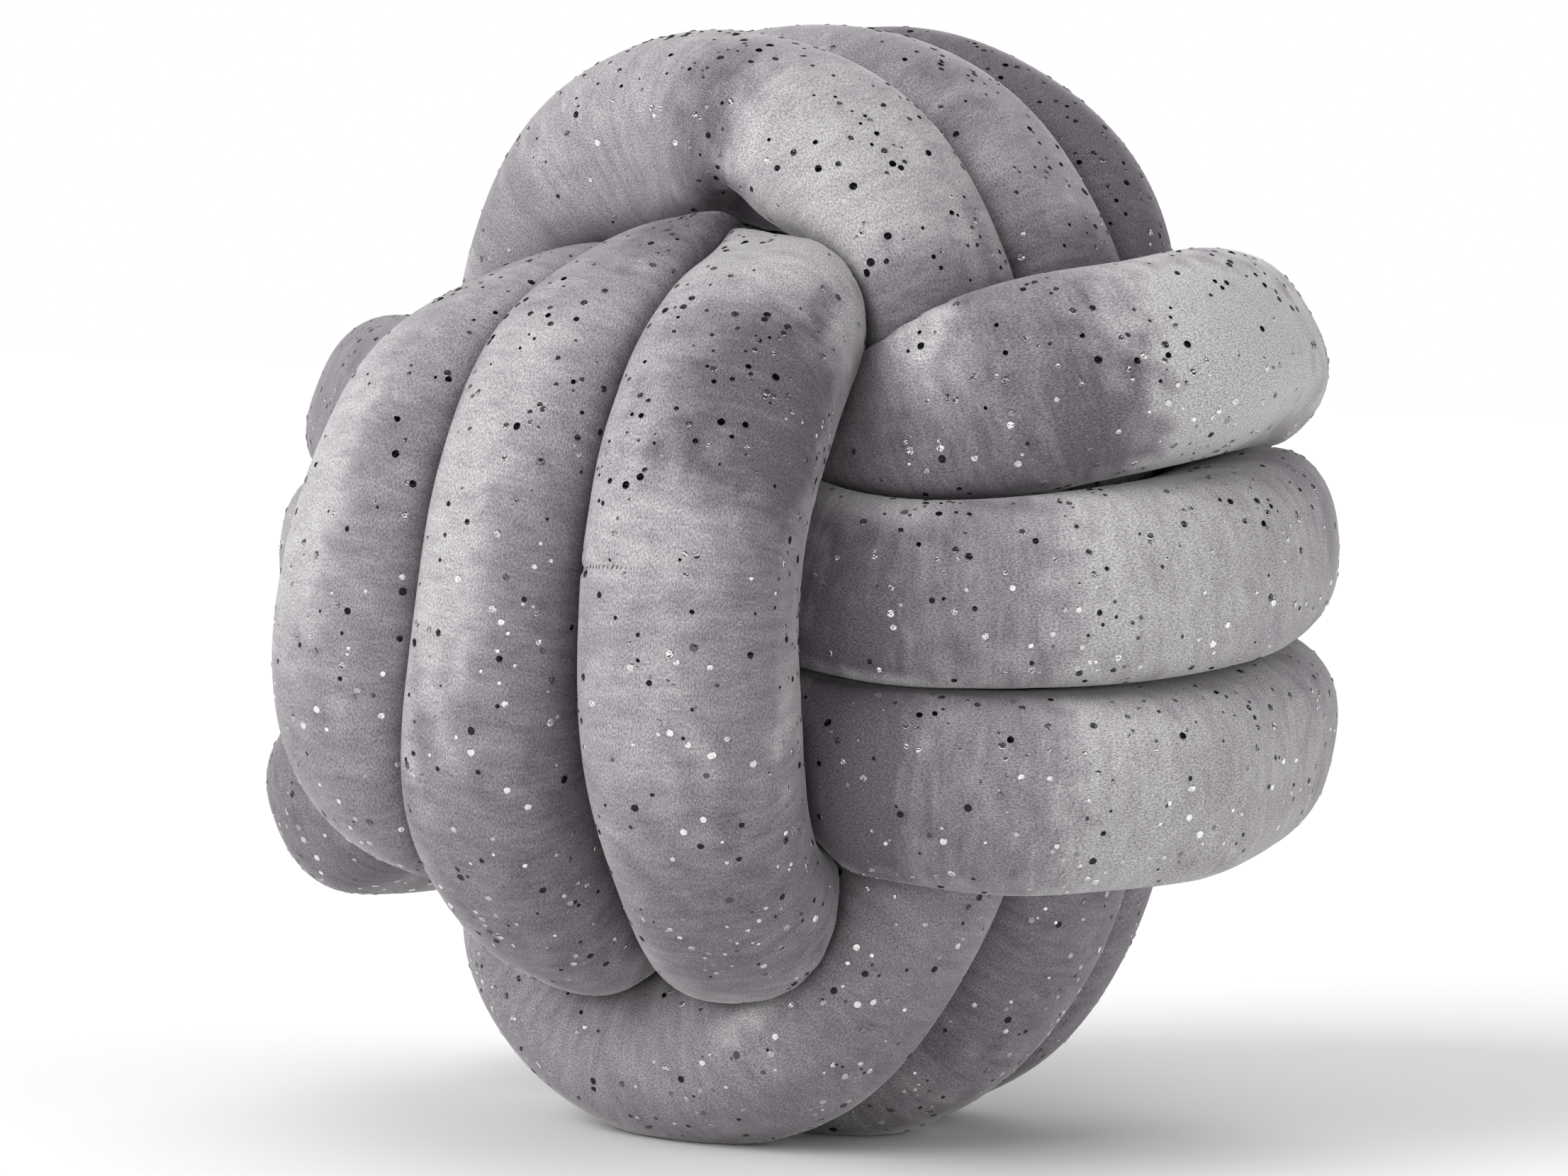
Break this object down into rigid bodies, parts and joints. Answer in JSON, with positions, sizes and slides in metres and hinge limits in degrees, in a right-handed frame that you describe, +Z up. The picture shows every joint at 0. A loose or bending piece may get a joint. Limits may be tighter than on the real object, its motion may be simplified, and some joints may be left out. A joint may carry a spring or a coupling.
{
  "type": "knot ball cushion",
  "caption": "Round decorative cushion knotted from one long stuffed velvet tube, for a bed, sofa or chair.",
  "frame": {"origin": "on the floor under the middle of the ball", "axes": "+Z up; -Y faces the three upright turns in front, +X the three level turns on the right"},
  "size_m": [0.2944, 0.298, 0.2969],
  "materials": {
    "velvet": "grey velvet with small foil dots"
  },
  "bodies": {
    "root": {"knot_tube": "velvet"}
  },
  "joints": []
}
